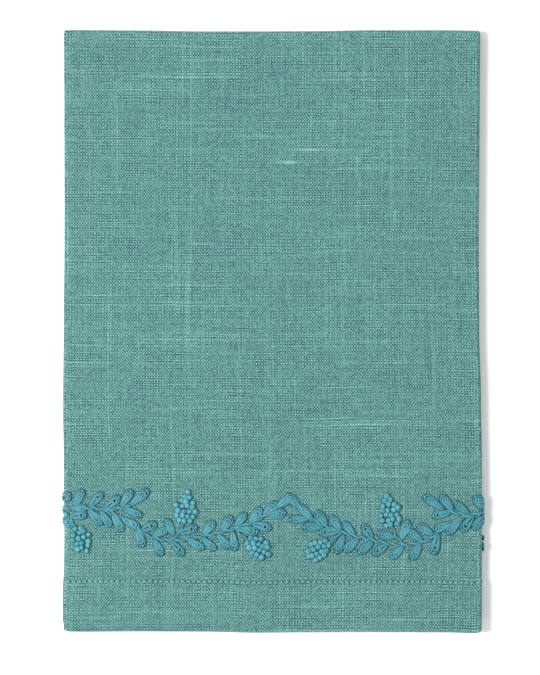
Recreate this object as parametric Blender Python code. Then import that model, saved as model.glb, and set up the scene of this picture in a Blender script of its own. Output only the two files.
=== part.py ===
"""A folded linen napkin with an embroidered vine, lying flat on its back.

Metres, +Z up. The square napkin is folded in thirds, both side flaps behind, and the strip is then
folded in half behind at the top. x runs across the front, y runs up to the half fold, z is height,
and the underside lies at z = 0. The embroidery stands on the front's lower part and turns round both
side folds.
"""

import math
from collections import namedtuple

import bmesh
import bpy
from mathutils import Matrix, Vector

# The napkin and its folds
FOLDED_WIDTH = 0.1758
FOLDED_LENGTH = 0.254
THICKNESS = 0.0010
LAYER_GAP = 0.00035
FLAP_WIDTH = 0.1646
BACK_SHORTFALL = 0.0028
LAYER_STEP = 0.0006
BACK_SKEW = 0.0007

# The hem along both ends of the strip
HEM_DEPTH = 0.0213
HEM_THICKNESS = 0.0013
HEM_RAMP = 0.0030
CORNER_DRAW = 0.0006
CORNER_REACH = 0.0025

# The soft rise and fall of the pressed stack, as shares of its height
SWELL_TOP = 0.045
SWELL_TOP_REACH = 0.016
SWELL_WAVE = 0.022
SWELL_WAVE_X = 0.123
SWELL_WAVE_Y = 0.171
SWELL_WAVE_START = 1.1

# Sizes worked out from those
HALF_WIDTH = FOLDED_WIDTH / 2
HALF_LENGTH = FOLDED_LENGTH / 2
PITCH = THICKNESS + LAYER_GAP
LAYERS_A_HALF = 3
HALF_STACK = (LAYERS_A_HALF - 0.5) * PITCH
LEFT_RADIUS = PITCH / 2
RIGHT_RADIUS = PITCH
LEFT_START = HALF_WIDTH - THICKNESS / 2 - LEFT_RADIUS
RIGHT_START = HALF_WIDTH - THICKNESS / 2 - RIGHT_RADIUS
FOLD_LINE = HALF_LENGTH - THICKNESS / 2 - HALF_STACK
FRONT_REACH = FOLD_LINE + HALF_LENGTH
BEND_REACH = math.pi * HALF_STACK
BACK_REACH = FRONT_REACH - BACK_SHORTFALL

# How finely each stretch of cloth is divided
FRONT_COLUMNS = 10
FLAP_COLUMNS = 4
LEFT_TURN_STEPS = 8
RIGHT_TURN_STEPS = 9
PANEL_ROWS = 11
HEM_ROWS = 2
BEND_STEPS = 11
OUTER_FACE = 1
INNER_FACE = -1

# How far each edge of the folded napkin strays from the straight
SideRow = namedtuple("SideRow", "y left right")
SIDE_EDGES = (
    SideRow(-0.117, 0.0000, 0.0005),
    SideRow(-0.088, 0.0004, 0.0008),
    SideRow(-0.059, 0.0001, 0.0008),
    SideRow(-0.030, -0.0003, 0.0004),
    SideRow(0.000, -0.0001, -0.0004),
    SideRow(0.038, 0.0001, -0.0006),
    SideRow(0.096, 0.0000, -0.0002),
    SideRow(0.125, -0.0001, 0.0000),
)
EndRow = namedtuple("EndRow", "x bottom top")
END_EDGES = (
    EndRow(-0.086, 0.0001, 0.0003),
    EndRow(-0.058, 0.0003, 0.0001),
    EndRow(-0.029, 0.0002, -0.0003),
    EndRow(-0.007, -0.0003, -0.0003),
    EndRow(0.014, -0.0001, -0.0002),
    EndRow(0.043, 0.0000, 0.0002),
    EndRow(0.072, -0.0001, 0.0002),
    EndRow(0.086, -0.0005, 0.0000),
)

# The embroidery: its middle on the front, and how it stands on the cloth
VINE_MIDDLE = 0.0063
RIGHT_HALF_SHARE = 0.985
RIGHT_HALF_DROP = 0.0016
RIGHT_DROP_REACH = 0.012
VINE_CLEARANCE = 0.0003
LEFT_WRAP = math.radians(115)
RIGHT_WRAP = math.radians(150)
STEM_RADIUS = 0.00065
STEM_STEP = 0.0036
STEM_SIDES_SETTING = 1
LEAF_WIDTH = 0.0039
LEAF_HEIGHT = 0.0010
LEAF_SIDES = 8
LEAF_RINGS = 5
LEAF_MIDDLE_SHARE = 0.80
LEAF_TAPER = 0.26
LEAF_SLIT = 0.55
SLIT_REACH = 0.9
SLIT_HALF_WIDTH = 0.1
KNOT_WIDTH = 0.0026
KNOT_HEIGHT = 0.0014
KNOT_PITCH = 0.0023
KNOT_ROW_PITCH = 0.00202
KNOT_STAGGER = 0.25
KNOT_SIDES = 6
KNOT_RINGS = 4
GOLDEN_TURN = math.radians(137.5)

# Half of the garland. g is the distance from its middle, below zero, and the vine grows inwards
Stem = namedtuple("Stem", "name points")
STEMS = (
    Stem("main", (
        (-0.1000, -0.0752), (-0.0940, -0.0750), (-0.0830, -0.0748), (-0.0780, -0.0758),
        (-0.0730, -0.0776), (-0.0650, -0.0826), (-0.0600, -0.0864), (-0.0540, -0.0881),
        (-0.0470, -0.0886), (-0.0370, -0.0870), (-0.0260, -0.0842), (-0.0190, -0.0820),
        (-0.0130, -0.0793), (-0.0083, -0.0767), (-0.0045, -0.0738), (0.0008, -0.0712),
    )),
    Stem("sprig", ((-0.0770, -0.0762), (-0.0730, -0.0752), (-0.0690, -0.0747), (-0.0665, -0.0742))),
    Stem("outer stalk", ((-0.0950, -0.0755), (-0.0925, -0.0785), (-0.0898, -0.0825))),
    Stem("upright stalk", ((-0.0500, -0.0886), (-0.0462, -0.0855), (-0.0442, -0.0805))),
    Stem("inner stalk", ((-0.0225, -0.0832), (-0.0200, -0.0858), (-0.0165, -0.0885))),
)

# Runs of leaves along a stem: angles in degrees from the way the stem grows, up being positive
LeafRun = namedtuple("LeafRun", "stem count first last first_angle last_angle length")
LEAF_RUNS = (
    LeafRun("main", 3, -0.0902, -0.0778, 62, 52, 0.0078),
    LeafRun("main", 1, -0.0706, -0.0706, -2, -2, 0.0080),
    LeafRun("main", 2, -0.0625, -0.0578, 70, 48, 0.0074),
    LeafRun("main", 1, -0.0362, -0.0362, 45, 45, 0.0076),
    LeafRun("main", 4, -0.0286, -0.0108, 42, 25, 0.0078),
    LeafRun("main", 1, -0.0058, -0.0058, 3, 3, 0.0080),
    LeafRun("main", 1, -0.0920, -0.0920, -4, -4, 0.0068),
    LeafRun("main", 3, -0.0846, -0.0744, -52, -33, 0.0082),
    LeafRun("main", 1, -0.0642, -0.0642, -39, -39, 0.0084),
    LeafRun("main", 2, -0.0568, -0.0496, -48, -46, 0.0078),
    LeafRun("main", 3, -0.0430, -0.0304, -44, -61, 0.0076),
    LeafRun("main", 1, -0.0239, -0.0239, -90, -90, 0.0084),
    LeafRun("main", 3, -0.0222, -0.0096, -22, -31, 0.0084),
    LeafRun("sprig", 1, -0.0708, -0.0708, 46, 46, 0.0084),
    LeafRun("sprig", 1, -0.0672, -0.0672, 26, 26, 0.0100),
    LeafRun("sprig", 1, -0.0700, -0.0700, -21, -21, 0.0084),
    LeafRun("outer stalk", 1, -0.0925, -0.0925, 61, 61, 0.0068),
    LeafRun("upright stalk", 1, -0.0480, -0.0480, 76, 76, 0.0080),
    LeafRun("upright stalk", 1, -0.0464, -0.0464, -38, -38, 0.0080),
)

# Bunches of knots: where the first row lies, which way the bunch runs, and the knots in each row
Bunch = namedtuple("Bunch", "g y heading rows")
LEFT_END_BUNCH = Bunch(-0.0888, -0.0835, -72, (2, 3, 4, 3, 3, 1))
RIGHT_END_BUNCH = Bunch(-0.0868, -0.0872, -90, (3, 4, 4))
BUNCHES = (
    Bunch(-0.0440, -0.0800, 82, (3, 4, 4, 4, 3, 2, 1)),
    Bunch(-0.0166, -0.0880, -38, (2, 3, 4, 4, 3, 1)),
)

# Looks of the solids
LINEN_COLOUR = (0.142, 0.337, 0.322, 1.0)
THREAD_COLOUR = (0.082, 0.322, 0.376, 1.0)
LINEN_ROUGHNESS = 0.88
THREAD_ROUGHNESS = 0.55

# The plain limits of the block that keeps only the embroidery's upper side
BLOCK_HEIGHT = 0.0050
BLOCK_LOW = -0.1200
BLOCK_HIGH = -0.0500
WELD = 0.000002


def clear_scene():
    for leftover in list(bpy.data.objects):
        bpy.data.objects.remove(leftover, do_unlink=True)


def new_collection(name):
    collection = bpy.data.collections.new(name)
    bpy.context.scene.collection.children.link(collection)
    return collection


def new_material(name, colour, roughness):
    material = bpy.data.materials.new(name)
    material.use_nodes = True
    shader = material.node_tree.nodes["Principled BSDF"]
    shader.inputs["Base Color"].default_value = colour
    shader.inputs["Roughness"].default_value = roughness
    shader.inputs["Metallic"].default_value = 0.0
    material.diffuse_color = colour
    return material


def object_from(bm, name, collection, material=None):
    mesh = bpy.data.meshes.new(name)
    bm.to_mesh(mesh)
    bm.free()
    made = bpy.data.objects.new(name, mesh)
    collection.objects.link(made)
    if material:
        mesh.materials.append(material)
    return made


def eased(share):
    share = min(max(share, 0.0), 1.0)
    return share * share * (3 - 2 * share)


def from_rows(rows, column, at):
    """A column's value at a place along the rows, eased from each row to the next."""
    if at <= rows[0][0]:
        return getattr(rows[0], column)
    for low, high in zip(rows, rows[1:]):
        if at <= high[0]:
            share = eased((at - low[0]) / (high[0] - low[0]))
            return getattr(low, column) * (1 - share) + getattr(high, column) * share
    return getattr(rows[-1], column)


def across(s):
    """The section across the folded thirds, s being the distance from the front's middle.

    It gives x, the drop below the front panel, and the outward direction (x, z) of the cloth's face.
    """
    side = 1 if s > 0 else -1
    start = RIGHT_START if s > 0 else LEFT_START
    radius = RIGHT_RADIUS if s > 0 else LEFT_RADIUS
    turned = min(max(abs(s) - start, 0.0) / radius, math.pi)
    flat = min(abs(s), start)
    returned = max(abs(s) - start - math.pi * radius, 0.0)
    x = side * (flat + radius * math.sin(turned) - returned)
    return x, radius * (math.cos(turned) - 1), (side * math.sin(turned), math.cos(turned))


def hem_share(y):
    """0 on the plain cloth and 1 on the doubled hem at the lower end."""
    hem_top = -HALF_LENGTH + HEM_DEPTH
    return eased((hem_top + HEM_RAMP / 2 - y) / HEM_RAMP)


def thickness_at(y):
    return THICKNESS + (HEM_THICKNESS - THICKNESS) * hem_share(y)


def swell(x, y):
    """How much thicker than its plain height the stack stands here."""
    springy = SWELL_TOP * math.exp(-(((FOLD_LINE - y) / SWELL_TOP_REACH) ** 2))
    across_wave = math.sin(2 * math.pi * x / SWELL_WAVE_X + SWELL_WAVE_START)
    along_wave = math.cos(2 * math.pi * y / SWELL_WAVE_Y)
    return 1 + springy + SWELL_WAVE * across_wave * along_wave


def edge_drift(x, y, drop):
    """How far the real edges pull this point of the flat stack sideways and lengthways."""
    right_share = 0.5 + x / FOLDED_WIDTH
    top_share = 0.5 + y / FOLDED_LENGTH
    left = from_rows(SIDE_EDGES, "left", y)
    right = from_rows(SIDE_EDGES, "right", y)
    bottom = from_rows(END_EDGES, "bottom", x)
    top = from_rows(END_EDGES, "top", x)
    corner = eased((abs(x) - HALF_WIDTH + CORNER_REACH) / CORNER_REACH)
    hidden_step = LAYER_STEP * -drop / PITCH
    sideways = left * (1 - right_share) + right * right_share
    lengthways = top * top_share + (bottom + CORNER_DRAW * corner + hidden_step) * (1 - top_share)
    return sideways, lengthways


def place(s, t, face=OUTER_FACE, above=0.0):
    """A point on a face of the folded napkin from its place on the flat cloth.

    s runs across, t runs from the front hem up over the half fold to the back hem, and above is the
    distance out from that face. The lowest panel's outer face lies level at z = 0.
    """
    x, drop, facing = across(s)
    height = HALF_STACK + drop
    turned = min(max(t - FRONT_REACH, 0.0) / HALF_STACK, math.pi)
    straight = min(t - FRONT_REACH, 0.0)
    returned = max(t - FRONT_REACH - BEND_REACH, 0.0)
    y = FOLD_LINE + straight + height * math.sin(turned) - returned
    level = HALF_STACK + height * math.cos(turned)
    sideways, lengthways = edge_drift(x, y, drop)
    thick = thickness_at(y)
    spread = (thick + LAYER_GAP) / PITCH * swell(x, y)
    skew = -BACK_SKEW * returned / BACK_REACH
    centre = Vector((x + sideways + skew, y + lengthways, thick / 2 + level * spread))
    outward = Vector((facing[0], facing[1] * math.sin(turned), facing[1] * math.cos(turned)))
    return centre + outward * (face * thick / 2 + above)


def evenly(start, end, steps):
    return [start + (end - start) * i / steps for i in range(steps)]


def cloth_columns():
    """Stations across the flat cloth, close together where it turns."""
    left_turned = LEFT_START + math.pi * LEFT_RADIUS
    right_turned = RIGHT_START + math.pi * RIGHT_RADIUS
    return (
        evenly(-left_turned - FLAP_WIDTH, -left_turned, FLAP_COLUMNS)
        + evenly(-left_turned, -LEFT_START, LEFT_TURN_STEPS)
        + evenly(-LEFT_START, RIGHT_START, FRONT_COLUMNS)
        + evenly(RIGHT_START, right_turned, RIGHT_TURN_STEPS)
        + evenly(right_turned, right_turned + FLAP_WIDTH, FLAP_COLUMNS)
        + [right_turned + FLAP_WIDTH]
    )


def cloth_rows():
    """Stations along the flat cloth, from the front hem to the back hem."""
    ramp_start = HEM_DEPTH - HEM_RAMP / 2
    ramp_end = HEM_DEPTH + HEM_RAMP / 2
    back_start = FRONT_REACH + BEND_REACH
    end = back_start + BACK_REACH
    back_ramp_end = end + BACK_SHORTFALL - ramp_end
    back_ramp_start = end + BACK_SHORTFALL - ramp_start
    return (
        evenly(0.0, ramp_start, HEM_ROWS)
        + evenly(ramp_start, ramp_end, 2)
        + evenly(ramp_end, FRONT_REACH, PANEL_ROWS)
        + evenly(FRONT_REACH, back_start, BEND_STEPS)
        + evenly(back_start, back_ramp_end, PANEL_ROWS)
        + evenly(back_ramp_end, back_ramp_start, 2)
        + evenly(back_ramp_start, end, HEM_ROWS)
        + [end]
    )


def border(grid):
    """The points round the edge of a grid, in order."""
    left = [row[0] for row in grid[:0:-1]]
    right = [row[-1] for row in grid[:-1]]
    return grid[0][:-1] + right + grid[-1][:0:-1] + left


def build_napkin(collection, material):
    """One closed sheet on its folds: an outer face, an inner face and the edge that joins them."""
    columns = cloth_columns()
    rows = cloth_rows()
    sheet = bmesh.new()
    grids = []
    for face in (OUTER_FACE, INNER_FACE):
        grid = [[sheet.verts.new(place(s, t, face)) for s in columns] for t in rows]
        for low, high in zip(grid, grid[1:]):
            for corners in zip(low, low[1:], high[1:], high):
                sheet.faces.new(corners)
        grids.append(grid)
    outer, inner = (border(grid) for grid in grids)
    for i in range(len(outer)):
        sheet.faces.new((outer[i - 1], outer[i], inner[i], inner[i - 1]))
    bmesh.ops.recalc_face_normals(sheet, faces=sheet.faces)
    napkin = object_from(sheet, "napkin", collection, material)
    napkin.data.shade_smooth()
    return napkin


def smooth_path(points, step):
    """Evenly spaced points on a smooth curve through the given ones."""
    knots = [Vector((g, y, 0.0)) for g, y in points]
    knots = [2 * knots[0] - knots[1]] + knots + [2 * knots[-1] - knots[-2]]
    path = []
    for before, start, end, after in zip(knots, knots[1:], knots[2:], knots[3:]):
        parts = max(1, round((end - start).length / step))
        for i in range(parts):
            u = i / parts
            path.append(0.5 * (
                2 * start
                + (end - before) * u
                + (2 * before - 5 * start + 4 * end - after) * u ** 2
                + (3 * start - before - 3 * end + after) * u ** 3
            ))
    return path + [knots[-2]]


def on_path(path, g):
    """The point of a path at this distance g, and the angle at which the path grows there."""
    for start, end in zip(path, path[1:]):
        if g <= end.x:
            break
    share = (g - start.x) / (end.x - start.x)
    way = end - start
    return start.lerp(end, share), math.atan2(way.y, way.x)


def mirrored(point, hand):
    """A point of the half chart on the left half (hand 1), or the right half (hand -1), which sags."""
    if hand > 0:
        return Vector((VINE_MIDDLE + point.x, point.y, 0.0))
    drop = RIGHT_HALF_DROP * eased(-point.x / RIGHT_DROP_REACH)
    return Vector((VINE_MIDDLE - RIGHT_HALF_SHARE * point.x, point.y - drop, 0.0))


def add_tube(stitches, points, radius, collection):
    """A round stem through the points, made as a bevelled curve and added as a mesh."""
    curve = bpy.data.curves.new("stem", "CURVE")
    curve.dimensions = "3D"
    curve.bevel_depth = radius
    curve.bevel_resolution = STEM_SIDES_SETTING
    curve.use_fill_caps = True
    spline = curve.splines.new("POLY")
    spline.points.add(len(points) - 1)
    for target, point in zip(spline.points, points):
        target.co = (*point, 1.0)
    guide = bpy.data.objects.new("stem", curve)
    collection.objects.link(guide)
    graph = bpy.context.evaluated_depsgraph_get()
    tube = bpy.data.meshes.new_from_object(guide.evaluated_get(graph))
    welded = bmesh.new()
    welded.from_mesh(tube)
    bmesh.ops.remove_doubles(welded, verts=welded.verts, dist=WELD)
    bmesh.ops.recalc_face_normals(welded, faces=welded.faces)
    welded.to_mesh(tube)
    welded.free()
    stitches.from_mesh(tube)
    bpy.data.objects.remove(guide, do_unlink=True)
    bpy.data.meshes.remove(tube)


def add_leaf(stitches, base, angle, length):
    """A raised leaf: a long dome, narrow at its base, with a slit along its middle."""
    made = bmesh.ops.create_uvsphere(
        stitches, u_segments=LEAF_SIDES, v_segments=LEAF_RINGS, radius=1.0
    )
    turn = Matrix.Translation(base) @ Matrix.Rotation(angle, 4, "Z")
    for vertex in made["verts"]:
        side, up, along = vertex.co
        taper = LEAF_MIDDLE_SHARE + LEAF_TAPER * along
        ridge = up > 0 and abs(side) < SLIT_HALF_WIDTH
        slit = LEAF_SLIT if ridge and abs(along) < SLIT_REACH else 1.0
        lengthways = length * (1 + along) / 2
        vertex.co = turn @ Vector((
            lengthways,
            side * taper * LEAF_WIDTH / 2,
            up * slit * LEAF_HEIGHT,
        ))


def add_knot(stitches, centre, index):
    """A French knot: a low dome, each turned a little from the last."""
    size = Matrix.Diagonal((KNOT_WIDTH / 2, KNOT_WIDTH / 2, KNOT_HEIGHT, 1.0))
    turn = Matrix.Rotation(GOLDEN_TURN * index, 4, "Z")
    bmesh.ops.create_uvsphere(
        stitches,
        u_segments=KNOT_SIDES,
        v_segments=KNOT_RINGS,
        radius=1.0,
        matrix=Matrix.Translation(centre) @ turn @ size,
    )


def stem_paths():
    return {stem.name: smooth_path(stem.points, STEM_STEP) for stem in STEMS}


def leaf_places(paths):
    """Base, angle and length of each leaf of the half chart."""
    for run in LEAF_RUNS:
        for i in range(run.count):
            share = i / (run.count - 1) if run.count > 1 else 0.0
            g = run.first + (run.last - run.first) * share
            base, growth = on_path(paths[run.stem], g)
            angle = run.first_angle + (run.last_angle - run.first_angle) * share
            yield base, growth + math.radians(angle), run.length


def knot_places(bunch):
    """The knots of a bunch, row by row away from its stalk, each row set between the last one's."""
    heading = math.radians(bunch.heading)
    ahead = Vector((math.cos(heading), math.sin(heading), 0.0))
    beside = Vector((-ahead.y, ahead.x, 0.0))
    first = Vector((bunch.g, bunch.y, 0.0))
    for row, count in enumerate(bunch.rows):
        for i in range(count):
            offset = i - (count - 1) / 2
            if row and (count - bunch.rows[row - 1]) % 2 == 0:
                offset += KNOT_STAGGER if row % 2 else -KNOT_STAGGER
            yield first + ahead * KNOT_ROW_PITCH * row + beside * KNOT_PITCH * offset


def wrap_limits():
    """How far round each side fold the embroidery reaches, measured on the flat cloth."""
    return -LEFT_START - LEFT_RADIUS * LEFT_WRAP, RIGHT_START + RIGHT_RADIUS * RIGHT_WRAP


def keep_block(collection):
    """The block whose inside is kept of the domes: above the cloth and between the wraps' ends."""
    low, high = wrap_limits()
    block = bmesh.new()
    middle = Vector(((low + high) / 2, (BLOCK_LOW + BLOCK_HIGH) / 2, BLOCK_HEIGHT / 2))
    size = Matrix.Diagonal((high - low, BLOCK_HIGH - BLOCK_LOW, BLOCK_HEIGHT, 1.0))
    bmesh.ops.create_cube(block, size=1.0, matrix=Matrix.Translation(middle) @ size)
    made = object_from(block, "embroidery_block", collection)
    made.hide_render = True
    made.display_type = "WIRE"
    return made


def fused(stitches, name, block, collection, material):
    """The overlapping domes as one closed body with a level underside."""
    raw = object_from(stitches, name + "_domes", collection)
    cut = raw.modifiers.new("Keep the raised side", "BOOLEAN")
    cut.operation = "INTERSECT"
    cut.solver = "EXACT"
    cut.use_self = True
    cut.object = block
    graph = bpy.context.evaluated_depsgraph_get()
    mesh = bpy.data.meshes.new_from_object(raw.evaluated_get(graph))
    bpy.data.objects.remove(raw, do_unlink=True)
    mesh.name = name
    mesh.materials.clear()
    mesh.materials.append(material)
    made = bpy.data.objects.new(name, mesh)
    collection.objects.link(made)
    return made


def fold_onto_cloth(made):
    """Carries flat embroidery onto the folded cloth, cut first where the side folds bend."""
    flat = bmesh.new()
    flat.from_mesh(made.data)
    bmesh.ops.remove_doubles(flat, verts=flat.verts, dist=WELD)
    left = [-LEFT_START - step for step in evenly(0.0, math.pi * LEFT_RADIUS, LEFT_TURN_STEPS)]
    right = [RIGHT_START + step for step in evenly(0.0, math.pi * RIGHT_RADIUS, RIGHT_TURN_STEPS)]
    for station in left + right:
        bmesh.ops.bisect_plane(
            flat,
            geom=flat.verts[:] + flat.edges[:] + flat.faces[:],
            dist=WELD,
            plane_co=(station, 0.0, 0.0),
            plane_no=(1.0, 0.0, 0.0),
        )
    bmesh.ops.triangulate(flat, faces=flat.faces)
    for vertex in flat.verts:
        s, y, height = vertex.co
        t = y - FOLD_LINE + FRONT_REACH
        vertex.co = place(s, t, OUTER_FACE, VINE_CLEARANCE + height)
    flat.to_mesh(made.data)
    flat.free()


def build_vine(collection, helpers, material):
    """The worked vine, and apart from it the knots of the bunch that lies behind the right fold."""
    paths = stem_paths()
    stitches = bmesh.new()
    fold_knots = bmesh.new()
    for hand in (1, -1):
        for path in paths.values():
            add_tube(stitches, [mirrored(point, hand) for point in path], STEM_RADIUS, helpers)
        for base, angle, length in leaf_places(paths):
            add_leaf(stitches, mirrored(base, hand), angle if hand > 0 else math.pi - angle, length)
        index = 0
        for bunch in BUNCHES:
            for centre in knot_places(bunch):
                index += 1
                add_knot(stitches, mirrored(centre, hand), index)
    for index, centre in enumerate(knot_places(LEFT_END_BUNCH)):
        add_knot(stitches, mirrored(centre, 1), index)
    for index, centre in enumerate(knot_places(RIGHT_END_BUNCH)):
        add_knot(fold_knots, mirrored(centre, -1), index)
    block = keep_block(helpers)
    vine = fused(stitches, "vine", block, collection, material)
    knots = fused(fold_knots, "fold_knots", block, collection, material)
    for made in (vine, knots):
        fold_onto_cloth(made)
        made.data.shade_smooth()
    return vine, knots


def stand_on_origin(pieces):
    """Moves the whole part so that the middle of its underside is the origin."""
    graph = bpy.context.evaluated_depsgraph_get()
    corners = [Vector(corner) for made in pieces for corner in made.evaluated_get(graph).bound_box]
    low = Vector([min(corner[axis] for corner in corners) for axis in range(3)])
    high = Vector([max(corner[axis] for corner in corners) for axis in range(3)])
    shift = Vector((-(low.x + high.x) / 2, -(low.y + high.y) / 2, 0.0))
    for made in pieces:
        made.data.transform(Matrix.Translation(shift))


def main():
    clear_scene()
    collection = new_collection("Folded napkin")
    helpers = new_collection("Cutters")
    linen = new_material("linen", LINEN_COLOUR, LINEN_ROUGHNESS)
    thread = new_material("embroidery_thread", THREAD_COLOUR, THREAD_ROUGHNESS)
    napkin = build_napkin(collection, linen)
    vine, knots = build_vine(collection, helpers, thread)
    stand_on_origin((napkin, vine, knots))


main()
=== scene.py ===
"""The folded linen napkin as it looks: the sheet on its folds, its weave, hem stitches and embroidery."""

import math
from collections import namedtuple

import bpy
import numpy as np
from mathutils import Matrix, Vector


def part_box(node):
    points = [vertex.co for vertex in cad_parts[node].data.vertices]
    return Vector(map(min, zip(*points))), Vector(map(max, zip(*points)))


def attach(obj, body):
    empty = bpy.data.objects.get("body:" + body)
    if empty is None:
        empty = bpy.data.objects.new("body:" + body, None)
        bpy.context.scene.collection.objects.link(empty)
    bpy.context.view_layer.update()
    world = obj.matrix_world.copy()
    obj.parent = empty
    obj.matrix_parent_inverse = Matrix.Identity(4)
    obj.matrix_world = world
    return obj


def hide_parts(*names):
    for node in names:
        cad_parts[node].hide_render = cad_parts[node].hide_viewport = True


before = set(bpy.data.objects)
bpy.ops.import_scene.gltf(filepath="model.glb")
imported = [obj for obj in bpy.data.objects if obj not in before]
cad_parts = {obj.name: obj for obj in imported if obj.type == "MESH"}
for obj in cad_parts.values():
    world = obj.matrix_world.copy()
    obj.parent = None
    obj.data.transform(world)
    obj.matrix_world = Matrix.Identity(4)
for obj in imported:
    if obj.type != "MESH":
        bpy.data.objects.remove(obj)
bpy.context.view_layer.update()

# The folded napkin, in metres, as its solid is folded
FOLDED_WIDTH = 0.1758
FOLDED_LENGTH = 0.254
SOLID_THICKNESS = 0.0010
LAYER_GAP = 0.00035
FLAP_WIDTH = 0.1646
BACK_SHORTFALL = 0.0028
LAYER_STEP = 0.0006
BACK_SKEW = 0.0007
HEM_DEPTH = 0.0213
SOLID_HEM_THICKNESS = 0.0013
HEM_RAMP = 0.0030
CORNER_DRAW = 0.0006
CORNER_REACH = 0.0025
SWELL_TOP = 0.045
SWELL_TOP_REACH = 0.016
SWELL_WAVE = 0.022
SWELL_WAVE_X = 0.123
SWELL_WAVE_Y = 0.171
SWELL_WAVE_START = 1.1

# Sizes worked out from those
HALF_WIDTH = FOLDED_WIDTH / 2
HALF_LENGTH = FOLDED_LENGTH / 2
PITCH = SOLID_THICKNESS + LAYER_GAP
HALF_STACK = 2.5 * PITCH
LEFT_RADIUS = PITCH / 2
RIGHT_RADIUS = PITCH
LEFT_START = HALF_WIDTH - SOLID_THICKNESS / 2 - LEFT_RADIUS
RIGHT_START = HALF_WIDTH - SOLID_THICKNESS / 2 - RIGHT_RADIUS
FOLD_LINE = HALF_LENGTH - SOLID_THICKNESS / 2 - HALF_STACK
FRONT_REACH = FOLD_LINE + HALF_LENGTH
BEND_REACH = math.pi * HALF_STACK
BACK_REACH = FRONT_REACH - BACK_SHORTFALL
CLOTH_END = FRONT_REACH + BEND_REACH + BACK_REACH
LEFT_TURNED = LEFT_START + math.pi * LEFT_RADIUS
RIGHT_TURNED = RIGHT_START + math.pi * RIGHT_RADIUS
FACE = SOLID_THICKNESS / 2

# How far each edge of the folded napkin strays from the straight
SIDE_Y = (-0.117, -0.088, -0.059, -0.030, 0.000, 0.038, 0.096, 0.125)
SIDE_LEFT = (0.0000, 0.0004, 0.0001, -0.0003, -0.0001, 0.0001, 0.0000, -0.0001)
SIDE_RIGHT = (0.0005, 0.0008, 0.0008, 0.0004, -0.0004, -0.0006, -0.0002, 0.0000)
END_X = (-0.086, -0.058, -0.029, -0.007, 0.014, 0.043, 0.072, 0.086)
END_BOTTOM = (0.0001, 0.0003, 0.0002, -0.0003, -0.0001, 0.0000, -0.0001, -0.0005)
END_TOP = (0.0003, 0.0001, -0.0003, -0.0003, -0.0002, 0.0002, 0.0002, 0.0000)

# The thin sheet: how thick it really looks, and how its raw edges round off
SHEET_THICKNESS = 0.00072
HEM_SHEET_THICKNESS = 0.00112
EDGE_ROUND = ((0.0, 0.35), (0.00008, 0.62), (0.0002, 0.84), (0.0004, 0.97), (0.0007, 1.0))

# How much squarer than round the pressed folds are: a circle's power is 2
FOLD_POWER = 4.0
TURN_STEPS = 721

# Soft troughs and ridges left by handling: middle, direction, half length, half width and depth
Crease = namedtuple("Crease", "x y angle reach width depth")
CREASES = (
    Crease(-0.058, 0.020, 88, 0.095, 0.016, 0.00012),
    Crease(0.012, 0.055, 84, 0.070, 0.020, -0.00014),
    Crease(0.052, -0.010, 93, 0.085, 0.015, 0.00012),
    Crease(-0.015, -0.050, 4, 0.070, 0.012, 0.00010),
    Crease(-0.030, 0.092, 172, 0.055, 0.010, 0.00012),
    Crease(0.040, 0.100, 8, 0.045, 0.012, -0.00010),
    Crease(0.030, -0.098, 178, 0.060, 0.006, -0.00008),
)
CREASE_SWAY = 0.12
CREASE_SWAYS = 4

# The weave: threads counted from the photo's scale, and how far they wander from the straight
WARP_PITCH = 0.000579
WEFT_PITCH = 0.000721
WARP_SLOW_WANDER = 0.0016
WEFT_SLOW_WANDER = 0.0014
QUICK_WANDER = 0.00042
WARP_SLOW_RATE = 28.0
WEFT_SLOW_RATE = 31.0
WARP_QUICK_RATE = 420.0
WEFT_QUICK_RATE = 380.0

# How light each part of the weave is, where 1 is the linen's own tone
BASE_LIGHT = 0.80
OVER_UNDER = 0.88
CROSSING = 0.40
SPECK = 0.50
WEFT_TONE = 0.38
WARP_TONE = 0.36
THICK_LEVEL = 0.61
WEFT_THICK = 2.6
WARP_THICK = 2.1
CLOUD = 0.12
CLOUD_RATE = 40.0
DARKEST_LIGHT = 0.05
OVER_UNDER_RELIEF = 0.35
WEAVE_BUMP = 0.4
WEAVE_DEPTH = 0.00016

# How quickly each thread's tone and thickness change along it, per metre, and from thread to thread
WEFT_TONE_RATE = 30.0
WARP_TONE_RATE = 24.0
WEFT_THICK_RATE = 15.0
WARP_THICK_RATE = 11.0
THREADS_APART = 3.7

# Threads that read as fine light lines: the rows' distance, and how strong each kind is
ROW_PITCH = 0.00102
ROW_SHARE = 0.35
WARP_SHARE = 0.26
WEFT_SHARE = 0.17
PATCH_RATE = 90.0
PATCH_GAIN = 2.4
PATCH_LEVEL = 0.6

# Thick places of single threads, on the flat cloth: middle, half size each way and how much paler
Slub = namedtuple("Slub", "s t half_across half_along paler")
SLUBS = (
    Slub(0.0152, 0.2038, 0.0052, 0.00034, 1.00),
    Slub(0.0073, 0.1985, 0.0040, 0.00052, 1.10),
    Slub(0.0360, 0.1988, 0.00038, 0.0022, 0.60),
    Slub(0.0523, 0.1755, 0.00038, 0.0024, 0.65),
    Slub(-0.0300, 0.1640, 0.0046, 0.00032, 0.50),
)

# The band along the side folds and the top fold, which is made paler with painted light and has a flatter
# weave
FOLD_BAND = 0.0042
SIDE_BAND_CENTRE = LEFT_START + 0.0010
TOP_BAND_CENTRE = FRONT_REACH + 0.0026
FOLD_PAINTED_LIGHT = 0.21
FOLD_FLATTER = 0.45

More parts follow.
